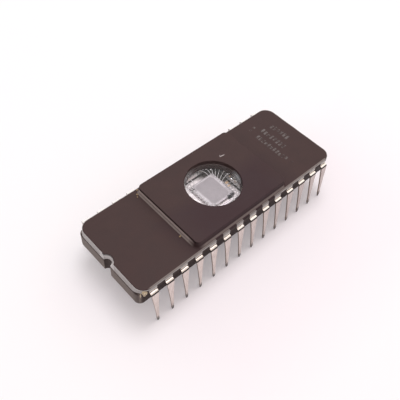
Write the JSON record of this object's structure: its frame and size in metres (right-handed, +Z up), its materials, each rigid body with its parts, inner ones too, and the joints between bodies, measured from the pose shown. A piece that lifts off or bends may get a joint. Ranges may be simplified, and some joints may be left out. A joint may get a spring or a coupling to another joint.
{
  "type": "eprom chip",
  "caption": "Ceramic dual in-line memory chip with tapered bent leads, a raised lid and a round clear window over its die.",
  "frame": {"origin": "middle of the base and of the lead rows at the level of the lead tips", "axes": "+X along the package away from the notched end, +Z up out of the window, +Y across to the row of leads 15 to 28"},
  "size_m": [0.0368, 0.0162, 0.0087],
  "materials": {
    "base_ceramic": "matt pressed brown alumina",
    "lid_ceramic": "matt pressed dark brown alumina",
    "sealing_glass": "satin grey sealing glass",
    "window_glass": "polished clear",
    "gold_metal": "satin gold metallisation",
    "silicon": "polished, with a fine pattern",
    "plated_lead": "satin tin plating"
  },
  "bodies": {
    "root": {"base": "base_ceramic", "die": "silicon", "die_attach": "gold_metal", "lead_01": "plated_lead", "lead_02": "plated_lead", "lead_03": "plated_lead", "lead_04": "plated_lead", "lead_05": "plated_lead", "lead_06": "plated_lead", "lead_07": "plated_lead", "lead_08": "plated_lead", "lead_09": "plated_lead", "lead_10": "plated_lead", "lead_11": "plated_lead", "lead_12": "plated_lead", "lead_13": "plated_lead", "lead_14": "plated_lead", "lead_15": "plated_lead", "lead_16": "plated_lead", "lead_17": "plated_lead", "lead_18": "plated_lead", "lead_19": "plated_lead", "lead_20": "plated_lead", "lead_21": "plated_lead", "lead_22": "plated_lead", "lead_23": "plated_lead", "lead_24": "plated_lead", "lead_25": "plated_lead", "lead_26": "plated_lead", "lead_27": "plated_lead", "lead_28": "plated_lead", "lid": "lid_ceramic", "seal_glass": "sealing_glass", "window": "window_glass"}
  },
  "joints": []
}
